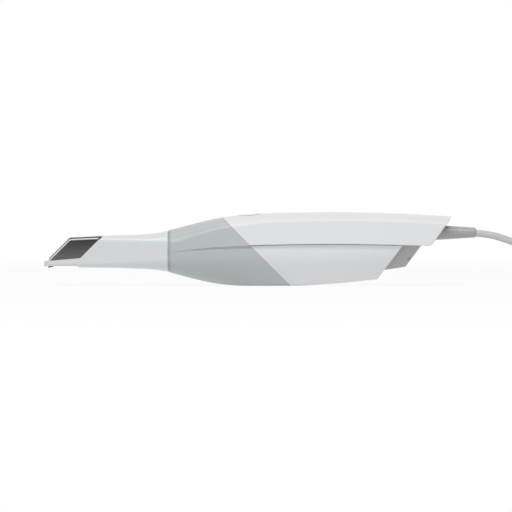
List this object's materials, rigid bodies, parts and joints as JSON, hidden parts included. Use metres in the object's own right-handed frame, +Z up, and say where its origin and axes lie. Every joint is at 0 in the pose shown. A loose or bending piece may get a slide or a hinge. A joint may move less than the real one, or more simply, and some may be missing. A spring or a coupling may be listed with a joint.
{
  "type": "intraoral scanner",
  "caption": "Hand-held corded scanner with a pull-off mirror tip, a raked two-tone handle, a top button and a cord tied in a hank.",
  "frame": {"origin": "on the resting plane, under the middle of the scanner's length from chin to strain relief", "axes": "+X towards the cord, +Y across the handle, +Z up; the tip points to -X"},
  "size_m": [0.4742, 0.0548, 0.0485],
  "materials": {
    "tip_white": "smooth moulded white plastic",
    "hood_dark": "smooth dark grey moulded plastic",
    "tip_mirror": "front-silvered glass",
    "ring_grey": "soft moulded ring",
    "housing_grey": "satin pale grey moulded plastic",
    "shell_white": "satin white moulded plastic",
    "cap_grey": "matt grey moulded plastic",
    "boot_grey": "soft grey moulded boot",
    "nose_metal": "fine turned aluminium",
    "clear_glass": "coated flat glass",
    "lens_glass": "polished coated glass",
    "slide_glass": "glass with a fine chrome pattern",
    "black_metal": "black anodised",
    "frame_metal": "dark anodised casting",
    "spring_steel": "bright spring steel",
    "screw_steel": "plated steel",
    "coil_copper": "varnished copper winding",
    "magnet_nickel": "nickel plated magnet",
    "board_green": "solder mask on glass fibre board",
    "chip_black": "moulded chip packages",
    "socket_white": "moulded socket",
    "fan_black": "black moulded plastic",
    "bezel_grey": "pale grey moulded plastic",
    "button_white": "satin white moulded plastic",
    "cord_grey": "smooth pale grey cord jacket",
    "tie_black": "hook and loop strap",
    "plug_grey": "moulded plug body",
    "plug_metal": "plated sheet metal",
    "plug_white": "moulded tongue"
  },
  "bodies": {
    "handle": {"collar_ring": "ring_grey", "front_housing": "housing_grey", "upper_shell": "shell_white", "lower_shell": "shell_white", "rear_cap": "cap_grey", "strain_relief": "boot_grey", "nose_tube": "nose_metal", "front_glass": "clear_glass", "objective_front_lens": "lens_glass", "lens_spacer": "black_metal", "objective_rear_lens": "lens_glass", "lens_keeper": "black_metal", "retaining_spring": "spring_steel", "nose_screws": "screw_steel", "optics_frame": "frame_metal", "guide_rods": "spring_steel", "frame_screws": "screw_steel", "magnet_yoke": "screw_steel", "yoke_magnets": "magnet_nickel", "beam_splitter": "lens_glass", "lamp_barrel": "black_metal", "pattern_slide": "slide_glass", "condenser_lens": "lens_glass", "lamp_board": "board_green", "lamp_chip": "chip_black", "heat_spreader": "nose_metal", "relay_lens": "lens_glass", "camera_barrel": "black_metal", "camera_lens": "lens_glass", "camera_board": "board_green", "image_sensor": "chip_black", "main_board": "board_green", "board_chips": "chip_black", "cord_socket": "socket_white", "board_screws": "screw_steel", "heat_sink": "nose_metal", "fan_frame": "fan_black", "button_bezel": "bezel_grey", "button_board": "board_green", "button_switch": "chip_black", "button_screws": "screw_steel", "cable_clamp": "fan_black", "inner_lead": "cord_grey", "cable": "cord_grey", "cable_coil": "cord_grey", "coil_tie": "tie_black", "cable_tail": "cord_grey", "plug_body": "plug_grey", "plug_shell": "plug_metal", "plug_tongue": "plug_white"},
    "tip": {"tip_sleeve": "tip_white", "mirror_hood": "hood_dark", "tip_mirror": "tip_mirror"},
    "button": {"scan_button": "button_white"},
    "carriage": {"focus_carriage": "nose_metal", "focus_lens": "lens_glass", "voice_coil": "coil_copper"},
    "rotor": {"fan_rotor": "fan_black"}
  },
  "joints": [
    {"name": "tip_pull", "type": "slide", "parent": "handle", "child": "tip", "axis": [-1, 0, 0], "range_m": [0, 0.045]},
    {"name": "scan_button_press", "type": "slide", "parent": "handle", "child": "button", "axis": [0, 0, -1], "range_m": [0, 0.0006], "stiffness_N_per_m": 1500, "springref_m": -0.0005},
    {"name": "focus_slide", "type": "slide", "parent": "handle", "child": "carriage", "axis": [1, 0, 0], "range_m": [-0.003, 0.003]},
    {"name": "fan_spin", "type": "hinge", "parent": "handle", "child": "rotor", "pos_m": [0.0624, 0, 0.0195], "axis": [1, 0, 0], "continuous": true}
  ]
}
